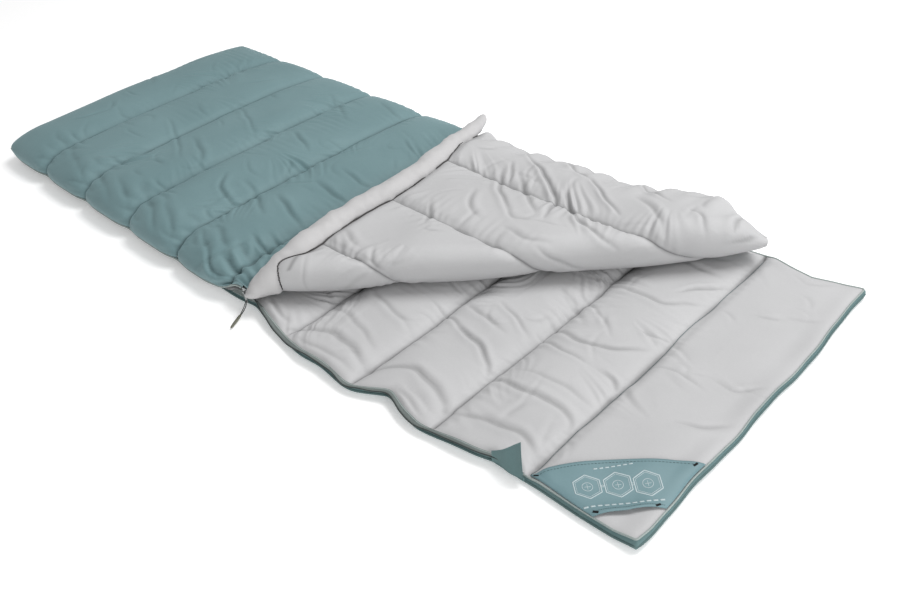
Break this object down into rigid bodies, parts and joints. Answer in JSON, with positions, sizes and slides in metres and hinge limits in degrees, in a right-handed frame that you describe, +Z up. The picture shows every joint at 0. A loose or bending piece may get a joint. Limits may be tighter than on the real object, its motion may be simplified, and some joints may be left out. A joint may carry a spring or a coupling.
{
  "type": "rectangular sleeping bag",
  "caption": "Quilted rectangular sleeping bag with a side zip, its top layer folded back on a diagonal and a longer bottom layer that forms a flat head section.",
  "frame": {"origin": "centre of the footprint, on the floor under the bottom layer", "axes": "+X from the foot end to the head end, +Y from the zip edge to the closed edge, +Z up"},
  "size_m": [2.242, 0.9367, 0.144],
  "materials": {
    "shell_teal": "fine polyester weave, slight sheen",
    "lining_grey": "soft brushed polyester, light grey",
    "hollowfibre": "loose white fibre batt",
    "thread": "quilting thread",
    "piping": "corded edge binding",
    "printed_band": "woven with a plain hexagon pattern",
    "bartack_black": "dense black stitching",
    "zip_tape": "woven zip tape",
    "zip_coil": "nylon coil",
    "stop_metal": "pressed steel",
    "slider_metal": "satin grey die casting",
    "cord": "round braided cord",
    "grip_plastic": "moulded olive grip",
    "touch_tape": "hook or loop tape"
  },
  "bodies": {
    "bag": {"underside_shell": "shell_teal", "bottom_insulation": "hollowfibre", "head_insulation": "hollowfibre", "bottom_lining": "lining_grey", "bottom_quilt_thread": "thread", "bottom_edge_piping": "piping", "corner_band": "printed_band", "corner_band_bartacks": "bartack_black", "top_insulation": "hollowfibre", "top_shell": "shell_teal", "top_lining": "lining_grey", "top_zip_facing": "shell_teal", "top_draft_tube_cover": "lining_grey", "top_draft_tube_fill": "hollowfibre", "top_quilt_thread": "thread", "foot_end_panel": "shell_teal", "far_side_panel": "shell_teal", "fold_lining": "lining_grey", "fold_insulation": "hollowfibre", "fold_shell": "shell_teal", "zip_tape_lower": "zip_tape", "zip_coil_lower": "zip_coil", "zip_tape_upper": "zip_tape", "zip_coil_upper": "zip_coil", "top_edge_piping": "piping", "zip_bottom_stop": "stop_metal", "zip_top_stop_lower": "stop_metal", "end_tab_anchor": "shell_teal"},
    "flap": {"flap_insulation": "hollowfibre", "flap_shell": "shell_teal", "flap_lining": "lining_grey", "flap_zip_facing": "shell_teal", "flap_draft_tube_cover": "lining_grey", "flap_draft_tube_fill": "hollowfibre", "flap_quilt_thread": "thread", "flap_zip_tape": "zip_tape", "flap_zip_coil": "zip_coil", "flap_edge_piping": "piping", "flap_zip_top_stop": "stop_metal", "flap_mouth_binding": "shell_teal", "flap_loop_patch": "touch_tape"},
    "zip_slider": {"slider_body": "slider_metal", "slider_bridge": "slider_metal"},
    "outer_pull": {"pull_tab": "slider_metal"},
    "pull_end": {"pull_cord": "cord", "cord_grip": "grip_plastic"},
    "inner_pull": {"inner_pull_tab": "slider_metal"},
    "end_tab": {"end_tab_fabric": "shell_teal", "end_tab_hook_patch": "touch_tape"}
  },
  "joints": [
    {"name": "flap_fold", "type": "hinge", "parent": "bag", "child": "flap", "pos_m": [0.03, -0.425, 0.091], "axis": [0.7071, 0.7071, 0], "range_deg": [0, 180], "deforming": ["fold_lining", "fold_insulation", "fold_shell"]},
    {"name": "zip_slide", "type": "slide", "parent": "bag", "child": "zip_slider", "axis": [1, 0, 0], "range_m": [-1.118, 0.76]},
    {"name": "pull_tab_swing", "type": "hinge", "parent": "zip_slider", "child": "outer_pull", "pos_m": [0.038, -0.434, 0.046], "axis": [-1, 0, 0], "range_deg": [0, 100]},
    {"name": "pull_cord_swing", "type": "hinge", "parent": "outer_pull", "child": "pull_end", "pos_m": [0.038, -0.434, 0.0135], "axis": [-1, 0, 0], "range_deg": [-80, 20]},
    {"name": "inner_pull_swing", "type": "hinge", "parent": "zip_slider", "child": "inner_pull", "pos_m": [0.038, -0.4199, 0.046], "axis": [0, 1, 0], "range_deg": [-80, 80]},
    {"name": "end_tab_fold", "type": "hinge", "parent": "bag", "child": "end_tab", "pos_m": [0.8475, -0.4337, 0.015], "axis": [1, 0, 0], "range_deg": [0, 90]}
  ]
}
